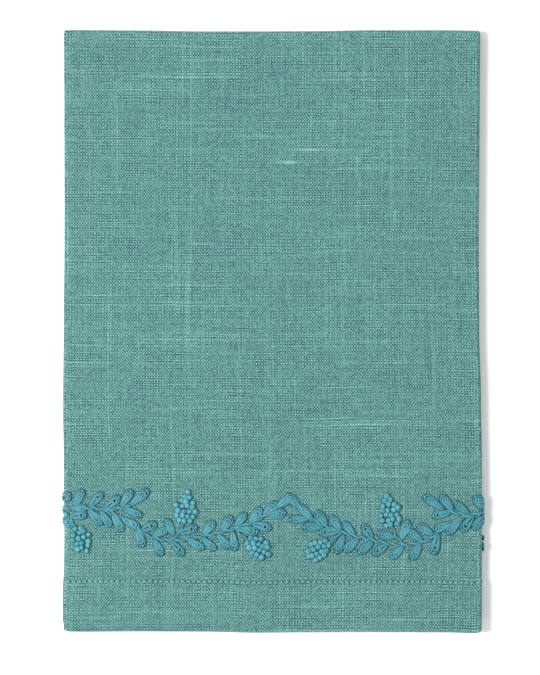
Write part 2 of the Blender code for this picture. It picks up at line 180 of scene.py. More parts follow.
# The hem's row of stitches
STITCH_LINE = 0.0212
STITCH_START = -0.0875
STITCH_PITCH = 0.0023
STITCH_LENGTH = 0.0013
STITCH_RADIUS = 0.00026
STITCH_STEPS = 7
STITCH_STRAY = 0.00006
STITCH_DRIFT = 0.00005
STITCH_SLANT = 0.00004
STITCH_ARCH = 0.00022
STITCH_BOW = 1.4
STITCH_SUNK = 0.00012
STITCH_SIDES = 5
FLUSH_DROP = 0.00024
FLUSH_RADIUS_SHARE = 0.55
# The needle holes' size, and how strongly painted shade darkens them
HOLE_WIDTH = 0.00042
HOLE_LENGTH = 0.00027
HOLE_SHADE_GAIN = 2.4
HOLE_SHADE_LEVEL = 0.05

# Half of the garland, as the solids have it. g is the distance from its middle, below zero
VINE_MIDDLE = 0.0063
RIGHT_HALF_SHARE = 0.985
RIGHT_HALF_DROP = 0.0016
RIGHT_DROP_REACH = 0.012
STEM_STEP = 0.0004
Stem = namedtuple("Stem", "name points")
STEMS = (
    Stem("main", (
        (-0.1000, -0.0752), (-0.0940, -0.0750), (-0.0830, -0.0748), (-0.0780, -0.0758),
        (-0.0730, -0.0776), (-0.0650, -0.0826), (-0.0600, -0.0864), (-0.0540, -0.0881),
        (-0.0470, -0.0886), (-0.0370, -0.0870), (-0.0260, -0.0842), (-0.0190, -0.0820),
        (-0.0130, -0.0793), (-0.0083, -0.0767), (-0.0045, -0.0738), (0.0008, -0.0712),
    )),
    Stem("sprig", ((-0.0770, -0.0762), (-0.0730, -0.0752), (-0.0690, -0.0747), (-0.0665, -0.0742))),
    Stem("outer stalk", ((-0.0950, -0.0755), (-0.0925, -0.0785), (-0.0898, -0.0825))),
    Stem("upright stalk", ((-0.0500, -0.0886), (-0.0462, -0.0855), (-0.0442, -0.0805))),
    Stem("inner stalk", ((-0.0225, -0.0832), (-0.0200, -0.0858), (-0.0165, -0.0885))),
)
LeafRun = namedtuple("LeafRun", "stem count first last first_angle last_angle length")
LEAF_RUNS = (
    LeafRun("main", 3, -0.0902, -0.0778, 62, 52, 0.0078),
    LeafRun("main", 1, -0.0706, -0.0706, -2, -2, 0.0080),
    LeafRun("main", 2, -0.0625, -0.0578, 70, 48, 0.0074),
    LeafRun("main", 1, -0.0362, -0.0362, 45, 45, 0.0076),
    LeafRun("main", 4, -0.0286, -0.0108, 42, 25, 0.0078),
    LeafRun("main", 1, -0.0058, -0.0058, 3, 3, 0.0080),
    LeafRun("main", 1, -0.0920, -0.0920, -4, -4, 0.0068),
    LeafRun("main", 3, -0.0846, -0.0744, -52, -33, 0.0082),
    LeafRun("main", 1, -0.0642, -0.0642, -39, -39, 0.0084),
    LeafRun("main", 2, -0.0568, -0.0496, -48, -46, 0.0078),
    LeafRun("main", 3, -0.0430, -0.0304, -44, -61, 0.0076),
    LeafRun("main", 1, -0.0239, -0.0239, -90, -90, 0.0084),
    LeafRun("main", 3, -0.0222, -0.0096, -22, -31, 0.0084),
    LeafRun("sprig", 1, -0.0708, -0.0708, 46, 46, 0.0084),
    LeafRun("sprig", 1, -0.0672, -0.0672, 26, 26, 0.0100),
    LeafRun("sprig", 1, -0.0700, -0.0700, -21, -21, 0.0084),
    LeafRun("outer stalk", 1, -0.0925, -0.0925, 61, 61, 0.0068),
    LeafRun("upright stalk", 1, -0.0480, -0.0480, 76, 76, 0.0080),
    LeafRun("upright stalk", 1, -0.0464, -0.0464, -38, -38, 0.0080),
)
Bunch = namedtuple("Bunch", "g y heading rows")
LEFT_END_BUNCH = Bunch(-0.0888, -0.0835, -72, (2, 3, 4, 3, 3, 1))
RIGHT_END_BUNCH = Bunch(-0.0868, -0.0872, -90, (3, 4, 4))
BUNCHES = (
    Bunch(-0.0440, -0.0800, 82, (3, 4, 4, 4, 3, 2, 1)),
    Bunch(-0.0166, -0.0880, -38, (2, 3, 4, 4, 3, 1)),
)
FoldLeaf = namedtuple("FoldLeaf", "g y angle length")
FOLD_LEAVES = (
    FoldLeaf(-0.0978, -0.0745, 48, 0.0078),
    FoldLeaf(-0.0975, -0.0790, -30, 0.0070),
)
KNOT_STRAY = 0.00020
KNOT_PITCH = 0.0023
KNOT_ROW_PITCH = 0.00202
KNOT_STAGGER = 0.25
LEFT_WRAP = 115
RIGHT_WRAP = 150
LEFT_LIMIT = -LEFT_START - LEFT_RADIUS * math.radians(LEFT_WRAP)
RIGHT_LIMIT = RIGHT_START + RIGHT_RADIUS * math.radians(RIGHT_WRAP)

# The leaves: looped stitches from the slit outwards, the last one low and dark with painted shade, standing
# in for the shadow round the leaf's edge, and how they stray
STRAND_SIDES = 6
Loop = namedtuple("Loop", "width reach rise radius")
LEAF_LOOPS = (
    Loop(0.00056, 0.62, 0.00082, 0.00036),
    Loop(0.00114, 0.80, 0.00072, 0.00038),
    Loop(0.00166, 0.92, 0.00050, 0.00038),
    # A low outer strand whose painted shade stands in for the leaf's cast shadow
    Loop(0.00202, 1.00, 0.00002, 0.00026),
)
LEAF_STEPS = 20
LEAF_STRETCH = 1.12
LEAF_ANGLE_STRAY = 4
LEAF_LENGTH_STRAY = 0.04
LEAF_WIDTH_STRAY = 0.05
LOOP_OPENING = 0.07
LOOP_SIDE_POWER = 0.85
LOOP_FORWARD_POWER = 0.82
LOOP_BASE_WIDTH = 0.58
LOOP_BASE_RISE = 0.35
LOOP_LIFT = 0.00012
LOOP_END_HEIGHT = -0.0002
LOOP_WAVER = 0.00003
LOOP_STRAY = 0.00005
RADIUS_STRAY = 0.05
LEAF_TONE_SHARE = 0.6

# The straight stitches that fill most slits, and the one that ties a leaf down at its tip
FILLED_LEAF_SHARE = 0.80
FILLER_ASIDE = 0.00025
FILLER_START = 0.06
FILLER_END = 0.86
FILLER_STEPS = 9
FILLER_RISE = 0.00040
FILLER_LIFT = 0.00020
FILLER_RADIUS = 0.000396
TIP_END = 0.98
TIP_STEPS = 6
TIP_RISE = 0.00080
TIP_LIFT = 0.0001
TIP_RADIUS = 0.000342
TIP_SHADE = 1.2
ARCH_START = 0.3
TIP_ARCH_START = 0.6
ARCH_END = 2.8

# The stems: two strands turned round each other, thinner in the stalks
ROPE_OFFSET = 0.00046
ROPE_RADIUS = 0.00050
ROPE_TURN = 0.0085
ROPE_LIFT = 0.00050
ROPE_FLATNESS = 0.7
ROPE_SHADE = 0.5
THICK_STEMS = ("main", "sprig")
STALK_SHARE = 0.8

# The knots: a thread wound inwards, whose last part goes down through the middle
KNOT_TURNS = 2.5
KNOT_STEPS = 30
KNOT_RING = 0.00106
KNOT_RADIUS = 0.00050
KNOT_CLOSING = 0.72
KNOT_OVAL = 0.08
KNOT_SIZE_STRAY = 0.07
KNOT_TILT = 0.00015
KNOT_LIFT = 0.00034
KNOT_RISE = 0.00086
FOLD_KNOT_RISE = 0.00030
KNOT_ARCH = 1.8
KNOT_LAST_PART = 0.93
KNOT_LAST_RING = 0.3
KNOT_LAST_DROP = 0.0002

# The thread's tones and painted light: a painted highlight on each tube's crown (its shape below 1, broad
# and pale), painted shade on its sides and underside, and painted shade where it lies low down
PAINTED_CROWN_POWER = 0.60
PAINTED_CROWN_GAIN = 0.98
PAINTED_UNDERSIDE_LEVEL = 0.05
PAINTED_FULL_LIGHT_LIFT = 0.0010
PAINTED_LOW_LIGHT = 0.18
TWISTS_PER_METRE = 700.0
FIBRE_RATE = 300.0
FIBRES_ROUND = 9.0
SHADE_GAIN = 0.24
SHADE_BASE = 0.88
PLY_GAIN = 0.06
FIBRE_GAIN = 0.35
FIBRE_BASE = 0.82
THREAD_BUMP = 0.5
THREAD_DEPTH = 0.00004
STITCH_FIBRE_RATE = 900.0
STITCH_FIBRE_GAIN = 0.6
STITCH_PALER = 1.80

# Colours, linear
LINEN_GAIN = (0.0850, 0.1645, 0.1420)
LINEN_DARK = (-0.0160, 0.0, 0.0140)
HEM_THREAD = (0.0640, 0.1600, 0.1520)
THREAD_GAIN = (0.0640, 0.1910, 0.2230)
THREAD_DARK = (-0.0180, 0.0240, 0.0320)

# The camera: the photo's frame and scale, and where the napkin's middle lies in it
PHOTO_WIDTH = 540
PHOTO_HEIGHT = 675
METRES_A_PIXEL = 0.0004223
NAPKIN_PIXEL_X = 272.2
NAPKIN_PIXEL_Y = 331.1
CAMERA_HEIGHT = 2.4

# The light: a wide soft key at the left and an even fill
KEY_DISTANCE = 2.0
KEY_ELEVATION = math.radians(56)
KEY_WIDTH = 0.44
KEY_HEIGHT = 1.0
KEY_POWER = 58.0
FILL_STRENGTH = 0.88

rng = np.random.default_rng(7)


def eased(share):
    share = np.clip(share, 0.0, 1.0)
    return share * share * (3 - 2 * share)


def from_rows(places, values, at):
    """Values at places, eased from each one to the next."""
    places = np.asarray(places)
    values = np.asarray(values)
    row = np.clip(np.searchsorted(places, at) - 1, 0, len(places) - 2)
    share = eased((at - places[row]) / (places[row + 1] - places[row]))
    return values[row] * (1 - share) + values[row + 1] * share


def hem_share(y):
    return eased((-HALF_LENGTH + HEM_DEPTH + HEM_RAMP / 2 - y) / HEM_RAMP)


def pressed_turn(angle):
    """A pressed fold's sine and cosine, squarer than round, and the way its face looks there.

    The angle goes evenly with the cloth's length round the fold.
    """
    even = np.linspace(0.0, math.pi, TURN_STEPS)
    reach = 2 / FOLD_POWER
    curve = np.stack((np.sin(even) ** reach, np.sign(np.cos(even)) * np.abs(np.cos(even)) ** reach))
    length = np.concatenate(([0.0], np.cumsum(np.linalg.norm(np.diff(curve, axis=1), axis=0))))
    true = np.interp(angle / math.pi, length / length[-1], even)
    sine = np.sin(true)
    cosine = np.cos(true)
    facing = np.stack((sine ** (2 - reach), np.sign(cosine) * np.abs(cosine) ** (2 - reach)))
    facing /= np.linalg.norm(facing, axis=0)
    return sine ** reach, np.sign(cosine) * np.abs(cosine) ** reach, facing[0], facing[1]


def crease_height(x, y):
    """The soft troughs and ridges of the front and back panels."""
    height = np.zeros_like(x)
    for crease in CREASES:
        angle = math.radians(crease.angle)
        along = (x - crease.x) * math.cos(angle) + (y - crease.y) * math.sin(angle)
        aside = (y - crease.y) * math.cos(angle) - (x - crease.x) * math.sin(angle)
        bend = aside - CREASE_SWAY * crease.width * np.sin(along / crease.reach * CREASE_SWAYS)
        height += crease.depth * np.exp(-((along / crease.reach) ** 2) - (bend / crease.width) ** 2)
    return height


def place(s, t, lift):
    """Points of the folded napkin from their places on the flat cloth, as the solid is folded."""
    s, t, lift = np.broadcast_arrays(np.asarray(s, float), np.asarray(t, float), np.asarray(lift, float))
    side = np.where(s > 0, 1.0, -1.0)
    start = np.where(s > 0, RIGHT_START, LEFT_START)
    radius = np.where(s > 0, RIGHT_RADIUS, LEFT_RADIUS)
    over = np.maximum(np.abs(s) - start, 0.0)
    turned = np.minimum(over / radius, math.pi)
    side_sine, side_cosine, side_out, side_up = pressed_turn(turned)
    x = side * (np.minimum(np.abs(s), start) + radius * side_sine
                - np.maximum(over - math.pi * radius, 0.0))
    drop = radius * (side_cosine - 1)
    bent = np.clip((t - FRONT_REACH) / HALF_STACK, 0.0, math.pi)
    returned = np.maximum(t - FRONT_REACH - BEND_REACH, 0.0)
    top_sine, top_cosine, top_out, top_up = pressed_turn(bent)
    height = HALF_STACK + drop
    y = FOLD_LINE + np.minimum(t - FRONT_REACH, 0.0) + height * top_sine - returned
    level = HALF_STACK + height * top_cosine
    right_share = 0.5 + x / FOLDED_WIDTH
    top_share = 0.5 + y / FOLDED_LENGTH
    sideways = (from_rows(SIDE_Y, SIDE_LEFT, y) * (1 - right_share)
                + from_rows(SIDE_Y, SIDE_RIGHT, y) * right_share)
    corner = CORNER_DRAW * eased((np.abs(x) - HALF_WIDTH + CORNER_REACH) / CORNER_REACH)
    lower = from_rows(END_X, END_BOTTOM, x) + corner - LAYER_STEP * drop / PITCH
    lengthways = from_rows(END_X, END_TOP, x) * top_share + lower * (1 - top_share)
    thick = SOLID_THICKNESS + (SOLID_HEM_THICKNESS - SOLID_THICKNESS) * hem_share(y)
    springy = SWELL_TOP * np.exp(-(((FOLD_LINE - y) / SWELL_TOP_REACH) ** 2))
    wave = (np.sin(2 * math.pi * x / SWELL_WAVE_X + SWELL_WAVE_START)
            * np.cos(2 * math.pi * y / SWELL_WAVE_Y))
    spread = (thick + LAYER_GAP) / PITCH * (1 + springy + SWELL_WAVE * wave)
    upper = np.clip(level / (2 * HALF_STACK), 0.0, 1.0)
    z = thick / 2 + level * spread + crease_height(x, y) * upper
    outward = np.stack((side * side_out, side_up * top_out, side_up * top_up), axis=-1)
    extra = (thick - SOLID_THICKNESS) / 2
    centre = np.stack((x + sideways - BACK_SKEW * returned / BACK_REACH, y + lengthways, z), axis=-1)
    return centre + outward * (lift + extra)[..., None]


def on_front(x, y, height):
    """Points that stand on the front's face, from flat places across and up the front."""
    return place(x, np.asarray(y) - FOLD_LINE + FRONT_REACH, FACE + np.asarray(height))


def mesh_object(name, points, faces):
    mesh = bpy.data.meshes.new(name)
    mesh.from_pydata(points.tolist(), [], faces)
    mesh.update()
    mesh.shade_smooth()
    made = bpy.data.objects.new(name, mesh)
    bpy.context.scene.collection.objects.link(made)
    return made


def keep_attribute(made, name, values):
    """Stores a vector for each point, which the material reads."""
    stored = made.data.attributes.new(name, "FLOAT_VECTOR", "POINT")
    stored.data.foreach_set("vector", np.asarray(values, np.float32).ravel())


def spaced(*stretches):
    """Stations along a line: each stretch is its start and its number of steps, and the last is the end."""
    stations = []
    for (start, steps), (end, _) in zip(stretches, stretches[1:]):
        stations += [start + (end - start) * i / steps for i in range(steps)]
    return np.array(stations + [stretches[-1][0]])


def edge_share(distance):
    """How much of its thickness the sheet keeps this near its raw edge."""
    places, shares = zip(*EDGE_ROUND)
    return np.interp(distance, places, shares)


def build_cloth():
    """The whole napkin as one closed thin sheet, its face on the solid's face."""
    edge = [distance for distance, _ in EDGE_ROUND]
    s_stations = spaced(
        (-LEFT_TURNED - FLAP_WIDTH, 14), (-LEFT_TURNED, 12), (-LEFT_START, 3),
        (-LEFT_START + 0.004, 84), (RIGHT_START - 0.004, 3), (RIGHT_START, 14),
        (RIGHT_TURNED, 14), (RIGHT_TURNED + FLAP_WIDTH, 0),
    )
    t_stations = spaced(
        (edge[-1], 9), (HEM_DEPTH - HEM_RAMP, 8), (HEM_DEPTH + HEM_RAMP, 110), (FRONT_REACH, 20),
        (FRONT_REACH + BEND_REACH, 70), (CLOTH_END + BACK_SHORTFALL - HEM_DEPTH - HEM_RAMP, 8),
        (CLOTH_END + BACK_SHORTFALL - HEM_DEPTH + HEM_RAMP, 9), (CLOTH_END - edge[-1], 0),
    )
    t_stations = np.concatenate((edge[:-1], t_stations, [CLOTH_END - d for d in edge[-2::-1]]))
    s, t = np.meshgrid(s_stations, t_stations)
    front_y = np.minimum(t, CLOTH_END + BACK_SHORTFALL - t) - HALF_LENGTH
    thick = SHEET_THICKNESS + (HEM_SHEET_THICKNESS - SHEET_THICKNESS) * hem_share(front_y)
    kept = edge_share(np.minimum(t, CLOTH_END - t))
    middle = FACE - thick / 2
    outer = place(s, t, middle + thick / 2 * kept)
    inner = place(s, t, middle - thick / 2 * kept)
    rows, columns = s.shape
    points = np.concatenate((outer.reshape(-1, 3), inner.reshape(-1, 3)))
    index = np.arange(rows * columns).reshape(rows, columns)
    face_quads = np.stack((index[:-1, :-1], index[:-1, 1:], index[1:, 1:], index[1:, :-1]), axis=-1)
    back_quads = face_quads[..., ::-1] + rows * columns
    border = np.concatenate((index[0, :-1], index[:-1, -1], index[-1, :0:-1], index[:0:-1, 0]))
    after = np.roll(border, -1)
    rim = np.stack((border, border + rows * columns, after + rows * columns, after), axis=-1)
    faces = face_quads.reshape(-1, 4).tolist() + back_quads.reshape(-1, 4).tolist() + rim.tolist()
    cloth = mesh_object("linen_napkin", points, faces)
    flat = np.stack((s.ravel(), t.ravel(), np.zeros(s.size)), axis=-1)
    keep_attribute(cloth, "flat_place", np.concatenate((flat, flat)))
    return cloth


def smooth_path(points, step):
    """Evenly spaced points on a smooth curve through the given ones."""
    knots = [np.array(point) for point in points]
    knots = [2 * knots[0] - knots[1]] + knots + [2 * knots[-1] - knots[-2]]
    path = []
    for before, start, end, after in zip(knots, knots[1:], knots[2:], knots[3:]):
        parts = max(1, round(float(np.linalg.norm(end - start)) / step))
        u = (np.arange(parts) / parts)[:, None]
        path.append(0.5 * (2 * start + (end - before) * u
                           + (2 * before - 5 * start + 4 * end - after) * u ** 2
                           + (3 * start - before - 3 * end + after) * u ** 3))
    return np.concatenate(path + [knots[-2][None]])


def on_path(path, g):
    """The point of a path at this distance g, and the angle at which the path grows there."""
    point = np.array([np.interp(g, path[:, 0], path[:, axis]) for axis in range(2)])
    i = int(np.clip(np.searchsorted(path[:, 0], g), 2, len(path) - 3))
    way = path[i + 2] - path[i - 2]
    return point, math.atan2(way[1], way[0])


def mirrored(points, hand):
    """Half-chart points on the left half (hand 1), or the right half (hand -1), which sags."""
    points = np.array(points, float)
    if hand > 0:
        points[..., 0] += VINE_MIDDLE
        return points
    points[..., 1] -= RIGHT_HALF_DROP * eased(-points[..., 0] / RIGHT_DROP_REACH)
    points[..., 0] = VINE_MIDDLE - RIGHT_HALF_SHARE * points[..., 0]
    return points


class Threads:
    """Collects many thread tubes, laid out flat, and folds them onto the cloth as one mesh."""

    def __init__(self):
        self.points = []
        self.faces = []
        self.marks = []
        self.turns = []
        self.count = 0

    def add(self, path, radius, shade, sides=STRAND_SIDES):
        """A round tube along a flat path of (x, y, height), closed at both ends."""
        path = np.asarray(path, float)
        radius = np.broadcast_to(radius, len(path))[:, None]
        ahead = np.gradient(path, axis=0)
        ahead /= np.linalg.norm(ahead, axis=1, keepdims=True) + 1e-12
        aside = np.cross((0.0, 0.0, 1.0), ahead)
        aside /= np.linalg.norm(aside, axis=1, keepdims=True) + 1e-9
        upward = np.cross(ahead, aside)
        length = np.concatenate(([0.0], np.cumsum(np.linalg.norm(np.diff(path, axis=0), axis=1))))
        rings = []
        turns = []
        for k in range(sides):
            angle = 2 * math.pi * k / sides
            rings.append(path + radius * (math.cos(angle) * aside + math.sin(angle) * upward))
            turns.append((math.cos(angle), math.sin(angle), 0.0))
        ring_points = np.stack(rings, axis=1).reshape(-1, 3)
        marks = np.stack((length, np.full(len(path), shade), path[:, 2]), axis=-1)
        self.marks.append(np.repeat(marks, sides, axis=0))
        self.turns.append(np.tile(turns, (len(path), 1)))
        self.points.append(ring_points)
        first = self.count
        for i in range(len(path) - 1):
            for k in range(sides):
                a = first + i * sides + k
                b = first + i * sides + (k + 1) % sides
                self.faces.append((a, b, b + sides, a + sides))
        self.faces.append(tuple(first + k for k in reversed(range(sides))))
        last = first + (len(path) - 1) * sides
        self.faces.append(tuple(last + k for k in range(sides)))
        self.count += len(ring_points)

    def fold(self, name):
        flat = np.concatenate(self.points)
        made = mesh_object(name, on_front(flat[:, 0], flat[:, 1], flat[:, 2]), self.faces)
        keep_attribute(made, "thread_place", np.concatenate(self.marks))
        keep_attribute(made, "thread_turn", np.concatenate(self.turns))
        return made


def in_view_limits(path):
    """The longest stretch of a flat path that lies between the ends of the two wraps."""
    inside = (path[:, 0] > LEFT_LIMIT) & (path[:, 0] < RIGHT_LIMIT)
    kept = np.flatnonzero(inside)
    if len(kept) < 3:
        return None
    breaks = np.flatnonzero(np.diff(kept) > 1)
    runs = np.split(kept, breaks + 1)
    longest = max(runs, key=len)
    return path[longest] if len(longest) > 2 else None


def add_kept(threads, path, radius, shade):
    """Adds the stretch of a thread that lies on the front or on its two side folds."""
    kept = in_view_limits(np.asarray(path))
    if kept is not None:
        threads.add(kept, radius, shade)


def arch(start, steps, rise, lift):
    """The heights of a short stitch that comes up, arches over and goes down again."""
    return rise * np.sin(np.linspace(start, ARCH_END, steps)) + lift


def add_leaf(threads, base, angle, length, filled_share=FILLED_LEAF_SHARE):
    """A leaf of looped stitches side by side round a slit, the outer loop tied down at its tip."""
    angle += math.radians(rng.normal(0, LEAF_ANGLE_STRAY))
    length *= LEAF_STRETCH * rng.normal(1.0, LEAF_LENGTH_STRAY)
    wide = rng.normal(1.0, LEAF_WIDTH_STRAY)
    tone = LEAF_TONE_SHARE * rng.random()
    along = np.array((math.cos(angle), math.sin(angle)))
    beside = np.array((-along[1], along[0]))

    def add_stitch(a, b, h, radius, shade):
        flat = base + a[:, None] * along + np.broadcast_to(b, a.shape)[:, None] * beside
        add_kept(threads, np.column_stack((flat, h)), radius, shade)

    def own_shade():
        return tone + (1 - LEAF_TONE_SHARE) * rng.random()

    turn = np.linspace(LOOP_OPENING, 1 - LOOP_OPENING, LEAF_STEPS) * 2 * math.pi
    forward = (1 - np.cos(turn)) / 2
    bulge = np.sign(np.sin(turn)) * np.abs(np.sin(turn)) ** LOOP_SIDE_POWER
    for loop in LEAF_LOOPS:
        a = length * loop.reach * forward ** LOOP_FORWARD_POWER
        waver = rng.normal(0, LOOP_WAVER, LEAF_STEPS)
        b = (wide * loop.width + waver) * bulge * LOOP_BASE_WIDTH * (1 + forward)
        b += rng.normal(0, LOOP_STRAY)
        h = loop.rise * (LOOP_BASE_RISE + (1 - LOOP_BASE_RISE) * np.sin(turn / 2)) + LOOP_LIFT
        h[[0, -1]] = LOOP_END_HEIGHT
        shade = own_shade()
        add_stitch(a, b, h, loop.radius * rng.normal(1.0, RADIUS_STRAY), shade)
    if rng.random() < filled_share:
        a = np.linspace(FILLER_START, FILLER_END, FILLER_STEPS) * length
        h = arch(ARCH_START, FILLER_STEPS, FILLER_RISE, FILLER_LIFT)
        for aside in (-FILLER_ASIDE, FILLER_ASIDE):
            add_stitch(a, aside, h, FILLER_RADIUS, own_shade())
    a = np.linspace(FILLER_END, TIP_END, TIP_STEPS) * length
    add_stitch(a, 0.0, arch(TIP_ARCH_START, TIP_STEPS, TIP_RISE, TIP_LIFT), TIP_RADIUS, TIP_SHADE)


def add_rope(threads, path, radius_share):
    """A stem of two strands turned round each other."""
    way = np.gradient(path, axis=0)
    way /= np.linalg.norm(way, axis=1, keepdims=True)
    beside = np.column_stack((-way[:, 1], way[:, 0]))
    length = np.concatenate(([0.0], np.cumsum(np.linalg.norm(np.diff(path, axis=0), axis=1))))
    for strand in range(2):
        turn = 2 * math.pi * length / ROPE_TURN + math.pi * strand
        flat = path + beside * (ROPE_OFFSET * radius_share * np.cos(turn))[:, None]
        h = ROPE_LIFT + ROPE_OFFSET * ROPE_FLATNESS * np.sin(turn)
        add_kept(threads, np.column_stack((flat, h)), ROPE_RADIUS * radius_share, ROPE_SHADE)


def add_knot(threads, centre, rise=KNOT_RISE):
    """A knot of thread wound round itself, its end going down through the middle."""
    start = rng.random() * 2 * math.pi
    size = rng.normal(1.0, KNOT_SIZE_STRAY)
    oval = 1 + KNOT_OVAL * rng.normal(0, 1, 2)
    share = np.linspace(0, 1, KNOT_STEPS)
    turn = start + share * KNOT_TURNS * 2 * math.pi
    ring = KNOT_RING * size * (1 - KNOT_CLOSING * share)
    last_part = share > KNOT_LAST_PART
    ring = np.where(last_part, ring * KNOT_LAST_RING, ring)
    tilt = rng.normal(0, KNOT_TILT, 2)
    h = KNOT_LIFT + rise * np.sin(share * KNOT_ARCH) * size
    h = np.where(last_part, h - KNOT_LAST_DROP, h)
    x = centre[0] + oval[0] * ring * np.cos(turn)
    y = centre[1] + oval[1] * ring * np.sin(turn)
    h = h + tilt[0] * np.cos(turn) + tilt[1] * np.sin(turn)
    add_kept(threads, np.column_stack((x, y, h)), KNOT_RADIUS * size, rng.random())


def knot_places(bunch):
    """The knots of a bunch, row by row away from its stalk, each row set between the last one's."""
    heading = math.radians(bunch.heading)
    ahead = np.array((math.cos(heading), math.sin(heading)))
    beside = np.array((-ahead[1], ahead[0]))
    for row, count in enumerate(bunch.rows):
        for i in range(count):
            offset = i - (count - 1) / 2
            if row and (count - bunch.rows[row - 1]) % 2 == 0:
                offset += KNOT_STAGGER if row % 2 else -KNOT_STAGGER
            step = ahead * KNOT_ROW_PITCH * row + beside * KNOT_PITCH * offset
            yield np.array((bunch.g, bunch.y)) + step


def build_embroidery():
    """Leaves, stems and knots, each kind as one mesh of thread."""
    paths = {stem.name: smooth_path(stem.points, STEM_STEP) for stem in STEMS}
    leaves = Threads()
    stems = Threads()
    knots = Threads()
    fold_knots = Threads()
    for hand in (1, -1):
        for name, path in paths.items():
            add_rope(stems, mirrored(path, hand), 1.0 if name in THICK_STEMS else STALK_SHARE)
        for run in LEAF_RUNS:
            for i in range(run.count):
                share = i / (run.count - 1) if run.count > 1 else 0.0
                g = run.first + (run.last - run.first) * share
                base, growth = on_path(paths[run.stem], g)
                angle = growth + math.radians(run.first_angle + (run.last_angle - run.first_angle) * share)
                add_leaf(leaves, mirrored(base, hand), angle if hand > 0 else math.pi - angle, run.length)
        for bunch in BUNCHES:
            for centre in knot_places(bunch):
                add_knot(knots, mirrored(centre, hand) + rng.normal(0, KNOT_STRAY, 2))
    for leaf in FOLD_LEAVES:
        base = mirrored(np.array((leaf.g, leaf.y)), 1)
        add_leaf(leaves, base, math.radians(leaf.angle), leaf.length, 1.0)
    for centre in knot_places(LEFT_END_BUNCH):
        add_knot(knots, mirrored(centre, 1) + rng.normal(0, KNOT_STRAY, 2))
    for centre in knot_places(RIGHT_END_BUNCH):
        add_knot(fold_knots, mirrored(centre, -1) + rng.normal(0, KNOT_STRAY, 2), FOLD_KNOT_RISE)
    return (leaves.fold("vine_leaves"), stems.fold("vine_stems"), knots.fold("knot_bunches"),
            fold_knots.fold("knots_at_the_fold"))


def build_stitches():
    """A row of running stitches along each hem; the underside's lies flush, so the napkin rests flat."""
    row = Threads()
    front = -HALF_LENGTH + STITCH_LINE
    back = CLOTH_END - STITCH_LINE + FOLD_LINE - FRONT_REACH
    rows = ((front, 0.0, STITCH_RADIUS), (back, -FLUSH_DROP, FLUSH_RADIUS_SHARE * STITCH_RADIUS))
    share = np.linspace(-1, 1, STITCH_STEPS)
    for line, raised, radius in rows:
        for i in range(int((RIGHT_LIMIT - LEFT_LIMIT) / STITCH_PITCH)):
            middle = STITCH_PITCH * (i + 0.5) + rng.normal(0, STITCH_STRAY)
            x = STITCH_START + middle + share / 2 * STITCH_LENGTH
            y = line + rng.normal(0, STITCH_DRIFT) + STITCH_SLANT * share
            h = raised - STITCH_SUNK + STITCH_ARCH * np.cos(STITCH_BOW * share)
            row.add(np.column_stack((x, y, h)), radius, rng.random(), STITCH_SIDES)
    return row.fold("hem_stitches")


class Shader:
    """A few short ways to build one material's nodes."""

    def __init__(self, name):
        self.material = bpy.data.materials.new(name)
        self.material.use_nodes = True
        self.tree = self.material.node_tree
        self.principled = self.tree.nodes["Principled BSDF"]

    def set(self, **values):
        for name, value in values.items():
            self.principled.inputs[name.replace("_", " ")].default_value = value

    def put(self, socket, value):
        if isinstance(value, bpy.types.NodeSocket):
            self.tree.links.new(value, socket)
        else:
            socket.default_value = value

    def math(self, operation, first, second=0.0, third=0.0, clamp=False):
        node = self.tree.nodes.new("ShaderNodeMath")
        node.operation = operation
        node.use_clamp = clamp
        for socket, value in zip(node.inputs, (first, second, third)):
            self.put(socket, value)
        return node.outputs[0]

    def place(self, attribute):
        node = self.tree.nodes.new("ShaderNodeAttribute")
        node.attribute_name = attribute
        split = self.tree.nodes.new("ShaderNodeSeparateXYZ")
        self.put(split.inputs[0], node.outputs["Vector"])
        return split.outputs

    def vector(self, x, y, z=0.0):
        node = self.tree.nodes.new("ShaderNodeCombineXYZ")
        for socket, value in zip(node.inputs, (x, y, z)):
            self.put(socket, value)
        return node.outputs[0]

    def noise(self, vector, scale, detail):
        """Smooth noise from 0 to 1, near 0.5 on average."""
        node = self.tree.nodes.new("ShaderNodeTexNoise")
        self.put(node.inputs["Vector"], vector)
        node.inputs["Scale"].default_value = scale
        node.inputs["Detail"].default_value = detail
        return node.outputs[0]

    def white(self, vector):
        node = self.tree.nodes.new("ShaderNodeTexWhiteNoise")
        node.noise_dimensions = "3D"
        self.put(node.inputs["Vector"], vector)
        return node.outputs["Value"]

    def tint(self, colour, factor):
        """A colour multiplied by a factor."""
        node = self.tree.nodes.new("ShaderNodeVectorMath")
        node.operation = "SCALE"
        node.inputs[0].default_value = colour
        self.put(node.inputs["Scale"], factor)
        return node.outputs[0]

    def ramp(self, gain, dark, factor):
        """A colour that changes with a factor: its gain times the factor, plus its dark end."""
        scaled = self.tint(gain, factor)
        shifted = self.tree.nodes.new("ShaderNodeVectorMath")
        shifted.inputs[1].default_value = dark
        self.put(shifted.inputs[0], scaled)
        kept = self.tree.nodes.new("ShaderNodeVectorMath")
        kept.operation = "MAXIMUM"
        kept.inputs[1].default_value = (0.001, 0.001, 0.001)
        self.put(kept.inputs[0], shifted.outputs[0])
        return kept.outputs[0]

    def bump(self, height, strength, distance):
        node = self.tree.nodes.new("ShaderNodeBump")
        node.inputs["Strength"].default_value = strength
        node.inputs["Distance"].default_value = distance
        self.put(node.inputs["Height"], height)
        self.put(self.principled.inputs["Normal"], node.outputs[0])


